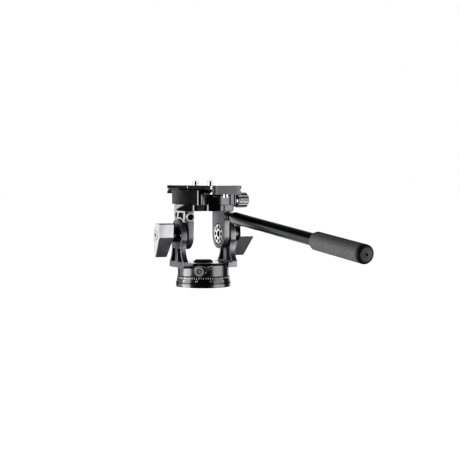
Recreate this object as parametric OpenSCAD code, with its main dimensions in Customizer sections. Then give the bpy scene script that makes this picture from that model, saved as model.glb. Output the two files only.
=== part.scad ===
// Gimbal-style monopod head: panning base, tilting cradle between two uprights,
// dovetail clamp with a long lens plate, and a pan handle.
// Millimetres. Origin at the centre of the mounting face, +Z up, +Y towards the subject.

/* [Base] */
// diameter of the base plate
base_d = 61.4; // [50:0.1:80]
// thickness of the base plate
base_h = 4.3; // [4:0.1:8]
// upper diameter of the degree ring
ring_top_d = 58.6; // [48:0.1:78]
// height of the degree ring
ring_h = 7.4; // [5.5:0.1:12]
// bore of the degree ring
ring_bore_d = 40; // [36:0.5:42]
// height of the shadow lines between the rings
line_h = 0.7; // [0.4:0.1:1.2]
// depth of the shadow line under the degree ring
line_in = 1; // [0.5:0.1:2]
// width of the lower thrust washer
thrust_w = 6.3; // [4:0.1:8]
// radius of the tripod thread (3/8 in)
tripod_r = 4.8; // [3:0.05:6]
// length of the tripod thread bush
tripod_l = 9; // [8:0.5:12]
// wall of the tripod thread bush
tripod_wall = 2.4; // [1.5:0.1:2.6]

/* [Pan body] */
// diameter of the pan body
pan_d = 57.4; // [52:0.1:76]
// height of the pan body
pan_h = 14.6; // [13:0.1:22]
// rim above the pan body's groove
rim_h = 1; // [0.6:0.1:1.4]
// height of the pan body's groove
groove_h = 1.7; // [0.8:0.1:2]
// depth of the pan body's groove
groove_in = 0.7; // [0.3:0.1:0.9]
// radius of the spindle
spindle_r = 8; // [7.8:0.1:9]
// radius of the spindle flange
flange_r = 17; // [16:0.5:17.5]
// thickness of the spindle flange
flange_h = 5; // [4.9:0.1:5.8]
// radius of the spindle's upper thread
stud_r = 5.5; // [4:0.1:6.5]
// lower diameter of the cap on the deck
cap_d = 22.4; // [21:0.1:27]
// upper diameter of the cap on the deck
cap_top_d = 17.2; // [14:0.1:20]
// height of the cap on the deck
cap_h = 2.5; // [2.5:0.1:6]
// thickness of the upper thrust washer
washer_h = 0.4; // [0.3:0.1:1]

/* [Pan lock] */
// angle of the pan lock, to the left of straight back
lock_angle = 30; // [10:1:40]
// pan lock below the pan body's middle
lock_drop = 1; // [0:0.1:1]
// radius of the lock screw
lock_r = 4; // [2.5:0.1:4.2]
// radius of the lever's hub
lever_hub_r = 6; // [5.6:0.1:6.4]
// depth of the lever's hub
lever_depth = 5.6; // [4:0.1:8]
// reach of the lever
lever_reach = 15; // [12:0.1:24]
// rise of the lever above level
lever_rise = 20; // [0:1:40]
// radius of the hollow in the lever's upper edge
lever_hollow = 9; // [6:0.1:20]
// half width at the lever's tip
lever_tip_r = 1.7; // [1.5:0.1:3.5]
// thickness of the lever's wing
lever_wing = 4; // [2.5:0.1:4.8]

/* [Uprights] */
// height of the tilt axis above the deck
tilt_rise = 31; // [30:0.5:45]
// gap between each arm and its upright
tilt_gap = 1.9; // [1:0.1:4]
// thickness of each upright
upright_t = 6.2; // [4.5:0.1:9]
// radius of the upright's round head
head_r = 16.4; // [14.5:0.1:16.8]
// half width of the upright's waist
waist = 13.8; // [12.5:0.1:16]
// half width of the foot
foot_w = 20.8; // [19:0.1:21.5]
// height of the waist above the deck
waist_rise = 16; // [14:0.5:20]
// height of the foot
foot_h = 5.4; // [5:0.1:6.5]
// inward reach of the foot
foot_lip = 5.2; // [4:0.1:7]
// half width of the rib between the slots
rib = 3.4; // [2:0.1:5]
// rail outside each slot
rail = 2.3; // [1.5:0.1:4]
// lower end of the slots above the deck
slot_low = 1.5; // [1:0.1:4]

/* [Tilt joint] */
// radius of the tilt axle
axle_r = 6.5; // [5.5:0.1:7]
// wall of the tilt bush
bush_wall = 2; // [1.5:0.1:3.5]
// radius of the axle's flange
disc_r = 10.8; // [9.5:0.1:11.2]
// thickness of the axle's flange
disc_h = 2.6; // [1.8:0.1:3.6]
// ring gap around the axle's flange
disc_gap = 1.1; // [0.4:0.1:1.6]
// number of holes in the flange
disc_holes = 8; // [4:1:10]
// radius of the holes in the flange
disc_hole_r = 2.15; // [1:0.05:2.15]
// pitch radius of the holes in the flange
disc_pcr = 7.6; // [6.5:0.1:8]
// radius of the flange's centre socket
disc_socket_r = 3.3; // [2:0.1:4]
// radius of the friction washer
friction_r = 15; // [12:0.1:15.4]
// radius of the collar outside each upright
collar_r = 8.6; // [7:0.1:10]
// length of the collar
collar_l = 7.4; // [5:0.1:12]
// radius of the tilt lock screw
tilt_lock_r = 5; // [3.5:0.1:5.8]

/* [Tilt lock knobs] */
// length of the knob along the tilt axis
knob_l = 16.6; // [14:0.1:22]
// rise of the knob above the axis
knob_top = 12.7; // [11:0.1:15]
// flat back of the knob, behind the axis
knob_back = 11.7; // [10:0.1:14]
// crease below the axis
knob_crease = 2.9; // [1:0.1:5]
// drop of the wing's tip below the axis
knob_drop = 25.2; // [20:0.1:30]
// forward sweep of the wing's tip
knob_sweep = 8.7; // [4:0.1:12]
// thickness of the wing's tip
knob_tip = 3; // [2:0.1:5]
// front of the hub, ahead of the axis
knob_front = 7.2; // [6.6:0.1:10]
// inward lean of the wing's outer end
knob_lean = 9; // [0:0.1:16]
// edge radius of the knob's outline
knob_edge = 1.6; // [0.8:0.1:2]
// radius of the knob's end cap
knob_cap_r = 5.2; // [4:0.1:6]
// thickness of the knob's end cap
knob_cap_h = 2; // [1.2:0.1:3]

/* [Cradle] */
// inner face of each arm, from the centre
arm_in = 17.9; // [17.6:0.1:19]
// thickness of each arm
arm_t = 6.4; // [6.2:0.1:7]
// half width and end radius of each arm
arm_r = 16.5; // [15.6:0.1:17.4]
// underside of the top plate above the tilt axis
plate_rise = 26.1; // [25.6:0.1:30]
// thickness of the top plate
plate_t = 6.8; // [6:0.1:9]
// top plate behind the tilt axis
plate_back = 31.5; // [24:0.5:34]
// top plate ahead of the tilt axis
plate_front = 28.5; // [21:0.5:34]
// corner radius of the top plate
plate_corner = 4; // [2:0.5:9]
// half width of the tongue at the top plate's ends
tongue_w = 11; // [9:0.1:14]
// corner radius of the tongue
tongue_corner = 6.5; // [2:0.1:7]
// side pad out from the top plate's left side
pad_out = 1.2; // [0.4:0.1:1.6]
// side pad ahead of the tilt axis
pad_front = 24; // [12:0.5:24.5]
// side pad behind the tilt axis
pad_back = 6; // [0:0.5:12]
// thickness of the side frames
frame_t = 4.7; // [4.4:0.1:7]
// half length of the side frames at the top
frame_w = 17; // [16:0.1:20]
// half length of the side frames at the foot
frame_foot = 15; // [13:0.1:17]
// drop of the side frames below the top plate
frame_drop = 12.6; // [10:0.1:14]
// rail width of the side frames
frame_rail = 2; // [1.4:0.1:3]
// running gap between side frame and upright head
frame_gap = 1; // [0.6:0.1:2]

/* [Handle] */
// handle boss axis inside the arm's outer face
boss_in = 0.8; // [0.2:0.1:1.4]
// handle boss below the top plate
boss_drop = 6.6; // [6.2:0.1:8]
// face of the handle boss behind the tilt axis
boss_y = 20; // [19:0.1:26]
// radius of the handle boss
boss_r = 5.1; // [4.8:0.1:5.4]
// length of the handle boss
boss_l = 7; // [6:0.1:8]
// radius of the handle thread (1/4 in)
handle_r = 3.2; // [2.5:0.05:3.4]
// depth of the handle thread
handle_depth = 6; // [4:0.1:6.2]
// outward angle of the handle
handle_out = 4; // [0:0.5:12]
// downward angle of the handle
handle_down = 6; // [0:0.1:8]
// radius of the handle tube
tube_r = 6.8; // [6.2:0.1:9]
// wall of the handle tube
tube_wall = 1.5; // [1:0.1:2]
// length of the lock nut
nut_h = 3.2; // [2.5:0.1:6]
// radius of the lock nut
nut_r = 4.4; // [4.2:0.1:6.2]
// bare stud between the lock nut and the tube
neck_l = 9; // [4:0.5:12]
// length of the bare tube
bare_l = 166; // [80:1:240]
// length of the grip
grip_l = 82; // [60:1:140]
// radius of the grip
grip_r = 9.4; // [8.5:0.1:13]
// rounding of the grip's ends
grip_round = 2.4; // [0.5:0.1:2.5]
// groove between grip and end cap
grip_groove = 0.5; // [0.5:0.1:3]
// length of the end cap
end_l = 3.2; // [3:0.1:12]
// rounding of the end cap
end_dome = 2.6; // [1:0.1:2.8]
// height of the shallow cone on the end cap
end_cone = 0.8; // [0.3:0.1:1.5]
// radius of the dimple in the end cap
dimple_r = 1.5; // [0.8:0.1:3]
// length of the plug in the tube's front end
plug_l = 24; // [16:1:40]

/* [Clamp] */
// length of the clamp
clamp_l = 79.2; // [66:0.1:100]
// wall of the fixed jaw outside the dovetail
fixed_wall = 4.2; // [3.5:0.1:8]
// height of the jaws above the top plate
jaw_h = 16; // [15.6:0.1:20]
// wall of the moving jaw outside the dovetail
moving_wall = 6.2; // [6.2:0.1:9]
// gap between clamp body and moving jaw
jaw_gap = 0.4; // [0.3:0.1:1]
// clearance under the lens plate
floor_gap = 1.2; // [0.6:0.1:2]
// corner radius of the fixed jaw's ends
jaw_corner = 3.2; // [1:0.1:3.2]
// corner radius of the moving jaw's ends
moving_corner = 9; // [2:0.1:9]
// width of the fixed jaw's end
jaw_strip = 6.7; // [6.5:0.1:8]
// depth of the notch beside the fixed jaw's end
notch_depth = 5; // [2:0.1:8]
// radius of the clamp's curved ends
end_curve = 60; // [50:1:150]
// middle of the curved ends, right of the head's centre
end_curve_x = 5; // [0:0.5:10]
// axis of the clamp screw above the top plate
screw_rise = 4.5; // [4.2:0.1:5]
// radius of the clamp screw
screw_r = 3; // [2:0.1:3.4]
// thread length held in the clamp body
screw_hold = 23; // [14:0.5:26]
// radius of the jaw's round boss
jaw_boss_r = 7.6; // [6:0.1:8]
// length of the jaw's round boss
jaw_boss_l = 13.2; // [6:0.1:18]
// thickness of the knob's washer
knob_washer = 1.2; // [0.6:0.1:2]
// radius of the clamp knob
clamp_knob_r = 8.6; // [7:0.1:12]
// length of the clamp knob
clamp_knob_l = 14.4; // [10:0.1:20]
// number of flutes on the clamp knob
flutes = 12; // [8:1:16]
// radius of each flute
flute_r = 1.2; // [0.6:0.1:1.6]
// radius of the guide pins
pin_r = 2; // [1.5:0.1:2.4]
// guide pins from the clamp's centre
pin_y = 24; // [18:0.5:28]
// guide pin length held in the clamp body
pin_hold = 12; // [8:0.5:16]

/* [Lens plate] */
// length of the lens plate
lens_l = 133; // [100:0.5:160]
// rest place of the lens plate, ahead of the clamp's middle
lens_y = 1; // [-10:0.5:10]
// half width of the dovetail's foot
dove_w = 18.2; // [17.6:0.1:19.4]
// height of the dovetail's foot
dove_foot = 1.8; // [1.2:0.1:2.4]
// inward slope of the dovetail
dove_in = 2.7; // [2:0.1:3]
// neck above the dovetail
dove_neck = 1.1; // [0.8:0.1:2]
// half width of the plate's upper flange
lens_w = 18; // [16:0.1:20]
// corner radius of the lens plate
lens_corner = 5; // [1:0.1:8]
// thickness of the plate's upper flange
lens_t = 4; // [3.6:0.1:6]
// clearance between dovetail and jaws
dove_gap = 0.3; // [0.2:0.05:0.4]
// bearing ledge under the dovetail
ledge = 3.1; // [2.4:0.1:4]
// radius of the camera screws (1/4 in)
camera_r = 3.17; // [2.5:0.01:4.7]
// protrusion of the camera screws
camera_out = 5; // [3:0.1:9]
// undercut of the camera screws' plain neck
neck_in = 0.6; // [0.3:0.05:1]
// camera screws from the plate's middle
camera_y = 21; // [12:0.5:30]
// adjustment length of each slot
slot_l = 24; // [12:0.5:26]
// stop screws from the plate's ends
stop_in = 4.5; // [3.5:0.1:9]

/* [Fits] */
// radial clearance of running fits
run = 0.05; // [0.02:0.01:0.1]
// radial clearance of seated pieces
seat = 0.03; // [0.01:0.01:0.06]
// clearance between turning faces
face = 0.2; // [0.1:0.05:0.3]
// radius of the small screws
m3_r = 1.5; // [1:0.05:1.6]
// radius of the small screws' heads
m3_head_r = 2.75; // [2.2:0.05:2.9]
// height of the small screws' heads
m3_head_h = 3; // [2:0.1:3.2]
// height of the base screws' low heads
low_head_h = 1.8; // [1.2:0.1:2]

/* [Hidden] */
$fn = 64;
// overrun of every cut
cut = 1;
// sink of a head below its surface
sink = 0.3;
// end play in a blind hole
play = 0.3;
// thinnest skin over a blind hole
thin = 1;
// lap of two solids that are joined
lap = 0.01;
// step of a washer's rim inside the face it carries
rim_in = 0.4;
// floor of a hex socket, as a share of the head's height
socket_floor = 0.45;
// hex socket, as a share of the shank's radius
socket_share = 0.95;
// hex socket of a cap, as a share of the cap's radius
cap_socket = 0.42;
// length of a thread in its knob or plug, as a share of that piece
thread_share = 0.7;
black = [0.07, 0.07, 0.075];
grey = [0.22, 0.22, 0.23];
silver = [0.66, 0.66, 0.67];
steel = [0.75, 0.75, 0.76];
white = [0.9, 0.9, 0.88];
bronze = [0.55, 0.4, 0.2];
rubber = [0.12, 0.12, 0.12];

// levels
pan_z = base_h + ring_h + line_h;
deck_z = pan_z + pan_h;
cap_z = deck_z + washer_h;
foot_z = deck_z - foot_h;
tilt_z = deck_z + tilt_rise;
waist_z = deck_z + waist_rise;
lock_z = pan_z + pan_h / 2 - lock_drop;
plate_z = tilt_z + plate_rise;
clamp_z = plate_z + plate_t;
jaw_z = clamp_z + jaw_h;
// the jaws' lips stop short of the plate's flange by a tenth
lip_gap = 0.1;
dove_z = jaw_z - dove_foot - dove_in + lip_gap;
lens_flange_z = dove_z + dove_foot + dove_in + dove_neck;
lens_top = lens_flange_z + lens_t;
floor_z = dove_z - floor_gap;
screw_z = clamp_z + screw_rise;
boss_z = plate_z - boss_drop;
boss_x = arm_in + arm_t - boss_in;

// base
bush_r = tripod_r + tripod_wall;
relief_l = 4;
relief_r = tripod_r + play;
ring_screws = 4;
ring_screw_r = (base_d / 2 - line_in + ring_bore_d / 2) / 2;
flange_screws = 3;
flange_screw_r = (bush_r + flange_r) / 2;
counterbore_h = low_head_h + sink;
base_screw_l = base_h + flange_h - thin - counterbore_h;
wear_in = 1.5;
thrust_out = ring_top_d / 2 - wear_in;
thrust_in = thrust_out - thrust_w;
cap_thread_h = cap_h - thin;

// cradle arms and uprights
arm_out = arm_in + arm_t;
upright_in = arm_out + tilt_gap;
upright_out = upright_in + upright_t;
foot_in = upright_in - foot_lip;
flare_h = waist_z - deck_z - slot_low;
flare = ((foot_w - waist) * (foot_w - waist) + flare_h * flare_h) / (2 * (foot_w - waist));
upright_screw_x = foot_in + 2 * m3_r;
upright_screw_y = 7;
upright_screw_top = deck_z - thin;
screw_wall = 0.9;
head_seat_z = pan_z + m3_head_h + 2 * sink;
tilt_bush_r = axle_r + bush_wall;

// tilt joint
disc_hole_share = 0.7;
disc_face = arm_in + sink;
axle_end = upright_out - sink;
lock_start = upright_out + sink;
collar_end = upright_out + collar_l;
knob_start = collar_end + face;
lock_share = 0.55;
lock_end = knob_start + knob_l * lock_share;
knob_cap_z = knob_l - knob_cap_h + sink;
knob_brow = 0.3 * knob_top;
knob_slope = 5;
tip_edge = 0.3 * knob_tip;

// pan lock
lock_boss_r = pan_d / 2 + 2 * play;
lever_start = lock_boss_r + face;
shoe_start = spindle_r + play;
shoe_l = 3.8;
shoe_end = shoe_start + shoe_l;
lock_head_h = 1.4;
lock_head_rim = 0.7;
lock_head_r = lock_r + lock_head_rim;
lever_root = 0.75 * lever_hub_r;
lever_hollow_x = 0.47 * lever_reach;

// clamp
clamp_left = dove_w + dove_gap + fixed_wall;
jaw_out = dove_w + dove_gap + moving_wall;
jaw_in = dove_w - ledge;
body_right = jaw_in - jaw_gap;
jaw_boss_end = jaw_out + jaw_boss_l;
washer_start = jaw_boss_end + face;
clamp_knob_start = washer_start + knob_washer;
screw_end = clamp_knob_start + clamp_knob_l * thread_share;
knob_chamfer = 0.8;
knob_dome = 2.3;
flute_out = 0.45;
jaw_under = 0.4;
clamp_bolt_y = 15;
clamp_bolt_r = 2.5;
clamp_bolt_head_r = 4.25;
clamp_bolt_head_h = 3.2;
clamp_bolt_grip = 4.6;
clamp_bolt_seat = floor_z - clamp_bolt_head_h - sink;

// cradle
arm_screw_x = arm_in + arm_t / 2;
arm_screw_y = 5;
arm_screw_l = 8;
arm_head_seat = clamp_z - m3_head_h - sink;
frame_arc = head_r + frame_gap;
end_rail = 2.2 * frame_rail;
brace_back = 0.6 * frame_rail;
brace_t = 2 * frame_rail;
brace_lean = 2 * frame_rail;

// lens plate
camera_rim = 2.3;
camera_head_r = camera_r + camera_rim;
camera_head_h = 3.4;
camera_seat = dove_z + camera_head_h + sink;
stop_y = lens_l / 2 - stop_in;
stop_shank = lens_top - dove_z - 2 * thin;

// handle
tube_start = nut_h + neck_l;
grip_start = tube_start + bare_l;
tube_end = grip_start + grip_l;
tube_bore = tube_r - tube_wall;
end_start = tube_end + grip_groove;
end_plug_l = 14;

// turns +Z into +X
module along_x(x) {
  translate([x, 0, 0]) rotate([90, 0, 90]) children();
}
// ring with its lower face at the origin
module ring(outer, inner, h) {
  difference() {
    cylinder(r = outer, h = h);
    translate([0, 0, -cut]) cylinder(r = inner, h = h + 2 * cut);
  }
}
// outline with rounded corners, built from exact arcs
module round_rect(w, l, r) {
  square([w - 2 * r, l], center = true);
  square([w, l - 2 * r], center = true);
  for (x = [-1, 1], y = [-1, 1])
    translate([x * (w / 2 - r), y * (l / 2 - r)]) circle(r = r);
}
// socket head screw, head seated at the origin, shank along -Z
module cap_screw(r, l, head_r, head_h) {
  translate([0, 0, -l]) cylinder(r = r, h = l);
  difference() {
    cylinder(r = head_r, h = head_h);
    translate([0, 0, head_h * socket_floor]) cylinder(r = r * socket_share, h = head_h, $fn = 6);
  }
}
// hole for the screw above
module screw_hole(r, l, head_r, head_h) {
  translate([0, 0, -l - play]) cylinder(r = r + seat, h = l + play + cut);
  cylinder(r = head_r + run, h = head_h);
}
// places around the base
module base_screw_places() {
  for (i = [0 : ring_screws - 1])
    rotate(i * 360 / ring_screws + 45) translate([ring_screw_r, 0, 0]) children();
  for (i = [0 : flange_screws - 1])
    rotate(i * 360 / flange_screws) translate([flange_screw_r, 0, 0]) children();
}
module upright_screw_places() {
  for (x = [-1, 1], y = [-1, 1])
    translate([x * upright_screw_x, y * upright_screw_y, head_seat_z]) rotate([180, 0, 0]) children();
}
module arm_screw_places() {
  for (x = [-1, 1], y = [-1, 1])
    translate([x * arm_screw_x, y * arm_screw_y, arm_head_seat]) children();
}
// outward along the pan lock: local +Z points away from the spindle
module on_lock() {
  translate([0, 0, lock_z]) rotate([0, 0, -lock_angle]) rotate([90, 0, 0]) children();
}
// outward along the handle: local +Z runs down the tube
module on_handle() {
  translate([boss_x, -boss_y, boss_z]) rotate([90 + handle_down, 0, handle_out]) children();
}

module base_plate() color(black) difference() {
  cylinder(r = base_d / 2, h = base_h);
  translate([0, 0, -cut]) cylinder(r = bush_r + seat, h = base_h + 2 * cut);
  base_screw_places() translate([0, 0, counterbore_h]) rotate([180, 0, 0])
    screw_hole(m3_r, base_screw_l, m3_head_r, counterbore_h + cut);
}
module tripod_bush() color(steel) ring(bush_r, tripod_r, tripod_l);
module degree_ring() color(black) difference() {
  translate([0, 0, base_h]) rotate_extrude() polygon([
    [ring_bore_d / 2, 0],
    [base_d / 2 - line_in, 0],
    [base_d / 2 - line_in, line_h],
    [base_d / 2, line_h],
    [ring_top_d / 2, ring_h],
    [ring_bore_d / 2, ring_h]
  ]);
  base_screw_places() translate([0, 0, counterbore_h]) rotate([180, 0, 0])
    screw_hole(m3_r, base_screw_l, m3_head_r, counterbore_h + cut);
}
module pan_spindle() color(steel) difference() {
  union() {
    translate([0, 0, base_h]) cylinder(r = flange_r, h = flange_h);
    translate([0, 0, base_h]) cylinder(r = spindle_r, h = cap_z - base_h);
    translate([0, 0, base_h]) cylinder(r = stud_r, h = cap_z + cap_thread_h - play - base_h);
  }
  cylinder(r = bush_r + seat, h = tripod_l);
  cylinder(r = relief_r, h = tripod_l + relief_l);
  base_screw_places() translate([0, 0, counterbore_h]) rotate([180, 0, 0])
    screw_hole(m3_r, base_screw_l, m3_head_r, counterbore_h + cut);
}
module base_screws() color(steel)
  base_screw_places() translate([0, 0, counterbore_h]) rotate([180, 0, 0])
    cap_screw(m3_r, base_screw_l, m3_head_r, low_head_h);
module lower_thrust_washer() color(grey)
  translate([0, 0, base_h + ring_h]) ring(thrust_out, thrust_in, line_h);
module upper_thrust_washer() color(white)
  translate([0, 0, deck_z]) ring(cap_d / 2 - rim_in, spindle_r + seat, washer_h);
module spindle_cap() color(black) translate([0, 0, cap_z]) difference() {
  cylinder(r1 = cap_d / 2, r2 = cap_top_d / 2, h = cap_h);
  translate([0, 0, -cut]) cylinder(r = stud_r + seat, h = cap_thread_h + cut);
}

module pan_body() color(black) difference() {
  union() {
    difference() {
      translate([0, 0, pan_z]) cylinder(r = pan_d / 2, h = pan_h);
      translate([0, 0, deck_z - rim_h - groove_h]) ring(base_d, pan_d / 2 - groove_in, groove_h);
    }
    on_lock() translate([0, 0, pan_d / 4]) cylinder(r = lever_hub_r + sink, h = lock_boss_r - pan_d / 4);
    // walls round the upright screws, which a slimmer body lets stand out of its rim
    for (x = [-1, 1], y = [-1, 1]) translate([x * upright_screw_x, y * upright_screw_y, pan_z])
      cylinder(r = m3_head_r + screw_wall, h = pan_h / 2);
  }
  translate([0, 0, pan_z - cut]) cylinder(r = spindle_r + run, h = pan_h + 2 * cut);
  for (s = [0, 1]) mirror([s, 0, 0])
    translate([foot_in, -foot_w - seat, foot_z]) cube([base_d, 2 * (foot_w + seat), pan_h]);
  on_lock() cylinder(r = lock_r + run, h = base_d);
  upright_screw_places() screw_hole(m3_r, pan_h, m3_head_r, pan_h);
}

// outline of an upright: forward to the right, up to the top
module upright_outline() difference() {
  union() {
    translate([-foot_w, foot_z]) square([2 * foot_w, waist_z - foot_z]);
    translate([-head_r, foot_z]) square([2 * head_r, tilt_z - foot_z]);
    translate([0, tilt_z]) circle(r = head_r);
  }
  for (s = [-1, 1]) translate([s * (waist + flare), waist_z]) circle(r = flare);
}
module upright_slots() {
  for (s = [-1, 1]) difference() {
    translate([s > 0 ? rib : -foot_w, deck_z + slot_low])
      square([foot_w - rib, waist_z - deck_z - slot_low]);
    translate([s * (waist + flare), waist_z]) circle(r = flare + rail);
  }
}
module upright() difference() {
  union() {
    along_x(upright_in) linear_extrude(upright_t) upright_outline();
    translate([foot_in, -foot_w, foot_z]) cube([foot_lip + upright_t, 2 * foot_w, foot_h]);
  }
  along_x(upright_in - cut) linear_extrude(upright_t + 2 * cut) upright_slots();
  translate([0, 0, tilt_z]) along_x(upright_in - cut)
    cylinder(r = tilt_bush_r + seat, h = upright_t + 2 * cut);
  for (y = [-1, 1]) translate([upright_screw_x, y * upright_screw_y, foot_z - cut])
    cylinder(r = m3_r + seat, h = upright_screw_top - foot_z + cut);
}
module left_upright() color(grey) mirror([1, 0, 0]) upright();
module right_upright() color(grey) upright();
module upright_screws() color(steel)
  upright_screw_places() cap_screw(m3_r, upright_screw_top - head_seat_z - sink, m3_head_r, m3_head_h);

module tilt_bush() translate([0, 0, tilt_z]) along_x(upright_in) ring(tilt_bush_r, axle_r + run, upright_t);
module left_tilt_bush() color(bronze) mirror([1, 0, 0]) tilt_bush();
module right_tilt_bush() color(bronze) tilt_bush();
module collar() translate([0, 0, tilt_z]) along_x(upright_out) ring(collar_r, tilt_lock_r + run, collar_l);
module left_collar() color(black) mirror([1, 0, 0]) collar();
module right_collar() color(black) collar();

module pan_brake_shoe() color(bronze)
  on_lock() translate([0, 0, shoe_start]) cylinder(r = lock_r, h = shoe_end - shoe_start);
module pan_lock_lever() color(grey) on_lock() translate([0, 0, lever_start]) difference() {
  union() {
    cylinder(r = lever_hub_r, h = lever_depth);
    translate([0, 0, lever_depth - lever_wing]) linear_extrude(lever_wing) difference() {
      rotate(lever_rise) {
        polygon([
          [0, -lever_root],
          [lever_reach - lever_tip_r, -lever_tip_r],
          [lever_reach - lever_tip_r, lever_tip_r],
          [0, lever_root]
        ]);
        translate([lever_reach - lever_tip_r, 0]) circle(r = lever_tip_r);
      }
      translate([lever_hollow_x, lever_root + lever_hollow]) circle(r = lever_hollow);
    }
  }
  translate([0, 0, -cut]) cylinder(r = lock_r + seat, h = lever_depth + 2 * cut);
}
module pan_lock_screw() color(steel) on_lock() {
  translate([0, 0, shoe_end + lip_gap])
    cylinder(r = lock_r, h = lever_start + lever_depth - shoe_end - lip_gap);
  translate([0, 0, lever_start + lever_depth]) difference() {
    cylinder(r = lock_head_r, h = lock_head_h);
    translate([0, 0, lock_head_h * socket_floor])
      cylinder(r = lock_head_r * cap_socket, h = lock_head_h, $fn = 6);
  }
}

// corner of an outline rounded with radius r: a is the corner before, c the one after
function unit(v) = v / norm(v);
function corner(a, b, c, r) =
  let (
    u = unit(a - b),
    w = unit(c - b),
    half = acos(u * w) / 2,
    mid = b + unit(u + w) * r / sin(half),
    p = b + u * r / tan(half) - mid,
    q = b + w * r / tan(half) - mid,
    start = atan2(p[1], p[0]),
    turn0 = atan2(q[1], q[0]) - start,
    turn = turn0 > 180 ? turn0 - 360 : turn0 < -180 ? turn0 + 360 : turn0
  )
  [for (i = [0 : 5]) mid + r * [cos(start + turn * i / 5), sin(start + turn * i / 5)]];
function rounded(p, r) =
  [for (i = [0 : len(p) - 1]) each corner(p[(i + len(p) - 1) % len(p)], p[i], p[(i + 1) % len(p)], r[i])];
// outline of a lock knob about the tilt axis: forward to the right, up to the top
knob_outline = rounded(
  [
    [-knob_back, knob_top],
    [-knob_back, -knob_crease],
    [knob_sweep, -knob_drop],
    [knob_sweep + knob_tip, -knob_drop],
    [knob_front, -knob_crease],
    [knob_front, knob_brow],
    [knob_front - knob_slope, knob_top]
  ],
  [knob_edge, knob_edge, tip_edge, tip_edge, knob_edge, 2 * knob_edge, 2 * knob_edge]
);
module lock_knob() translate([0, 0, tilt_z]) along_x(knob_start) difference() {
  linear_extrude(knob_l) polygon(knob_outline);
  translate([-2 * knob_drop, -knob_cap_r - sink, knob_l]) rotate([knob_lean, 0, 0])
    translate([0, -2 * knob_drop, 0]) cube([4 * knob_drop, 2 * knob_drop, knob_drop]);
  translate([0, 0, -cut]) cylinder(r = tilt_lock_r + seat, h = lock_end - knob_start + cut);
  translate([0, 0, knob_cap_z]) cylinder(r = knob_cap_r + run, h = knob_l);
}
module lock_screw() translate([0, 0, tilt_z]) along_x(lock_start)
  cylinder(r = tilt_lock_r, h = lock_end - lock_start);
module knob_cap() translate([0, 0, tilt_z]) along_x(knob_start + knob_cap_z) difference() {
  cylinder(r = knob_cap_r, h = knob_cap_h);
  translate([0, 0, knob_cap_h * socket_floor])
    cylinder(r = knob_cap_r * cap_socket, h = knob_cap_h, $fn = 6);
}
module left_lock_knob() color(silver) mirror([1, 0, 0]) lock_knob();
module left_lock_screw() color(steel) mirror([1, 0, 0]) lock_screw();
module left_knob_cap() color(silver) mirror([1, 0, 0]) knob_cap();
module right_lock_knob() color(silver) lock_knob();
module right_lock_screw() color(steel) lock_screw();
module right_knob_cap() color(silver) knob_cap();

// both ends of the clamp and of the top plate's tongue curve like this
module end_arcs() intersection() {
  translate([end_curve_x, clamp_l / 2 - end_curve]) circle(r = end_curve);
  translate([end_curve_x, end_curve - clamp_l / 2]) circle(r = end_curve);
}
// plan of a tongue as long as the clamp, from its left to its right side
module tongue(left, right) intersection() {
  translate([(right - left) / 2, 0]) round_rect(left + right, clamp_l, tongue_corner);
  end_arcs();
}
module side_pad() along_x(arm_out - lap) linear_extrude(pad_out + lap) polygon([
  [pad_front, plate_z],
  [pad_front, clamp_z],
  [-pad_back, clamp_z]
]);
module top_plate() color(black) difference() {
  union() {
    translate([0, 0, plate_z]) linear_extrude(plate_t) {
      translate([0, (plate_front - plate_back) / 2])
        round_rect(2 * arm_out, plate_front + plate_back, plate_corner);
      tongue(tongue_w, tongue_w);
    }
    mirror([1, 0, 0]) side_pad();
  }
  arm_screw_places() screw_hole(m3_r, plate_t, m3_head_r, plate_t);
  for (y = [-1, 1]) translate([0, y * clamp_bolt_y, clamp_z - clamp_bolt_grip - play])
    cylinder(r = clamp_bolt_r + seat, h = clamp_bolt_grip + cut);
}
// side frame outline: forward to the right, up to the top
module frame_outline() difference() {
  polygon([
    [-frame_w, plate_z],
    [-frame_foot, plate_z - frame_drop],
    [frame_foot, plate_z - frame_drop],
    [frame_w, plate_z]
  ]);
  translate([0, tilt_z]) circle(r = frame_arc);
  difference() {
    union() {
      polygon([
        [-frame_w + end_rail, plate_z - frame_rail],
        [brace_back, plate_z - frame_rail],
        [brace_back + brace_lean, plate_z - frame_drop],
        [-frame_foot + end_rail, plate_z - frame_drop]
      ]);
      polygon([
        [brace_back + brace_t, plate_z - frame_rail],
        [frame_w - end_rail, plate_z - frame_rail],
        [frame_foot - end_rail, plate_z - frame_drop],
        [brace_back + brace_t + brace_lean, plate_z - frame_drop]
      ]);
    }
    translate([0, tilt_z]) circle(r = frame_arc + frame_rail);
  }
}
module arm() difference() {
  union() {
    translate([0, 0, tilt_z]) along_x(arm_in) cylinder(r = arm_r, h = arm_t);
    translate([arm_in, -arm_r, tilt_z]) cube([arm_t, 2 * arm_r, plate_z - tilt_z]);
    along_x(arm_out - lap) linear_extrude(frame_t + lap) frame_outline();
    on_handle() translate([0, 0, -boss_l]) cylinder(r = boss_r, h = boss_l);
  }
  on_handle() translate([0, 0, -handle_depth]) cylinder(r = handle_r, h = handle_depth + cut);
  translate([0, 0, tilt_z]) along_x(arm_in - cut) cylinder(r = disc_r + disc_gap, h = disc_h + sink + cut);
  translate([0, 0, tilt_z]) along_x(arm_in - cut) cylinder(r = axle_r + seat, h = arm_t + 2 * cut);
  arm_screw_places() screw_hole(m3_r, arm_screw_l + m3_head_h, m3_head_r, m3_head_h);
}
module left_arm() color(grey) mirror([1, 0, 0]) arm();
module right_arm() color(grey) arm();
module arm_screws() color(steel)
  arm_screw_places() cap_screw(m3_r, arm_screw_l + m3_head_h, m3_head_r, m3_head_h);

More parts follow.
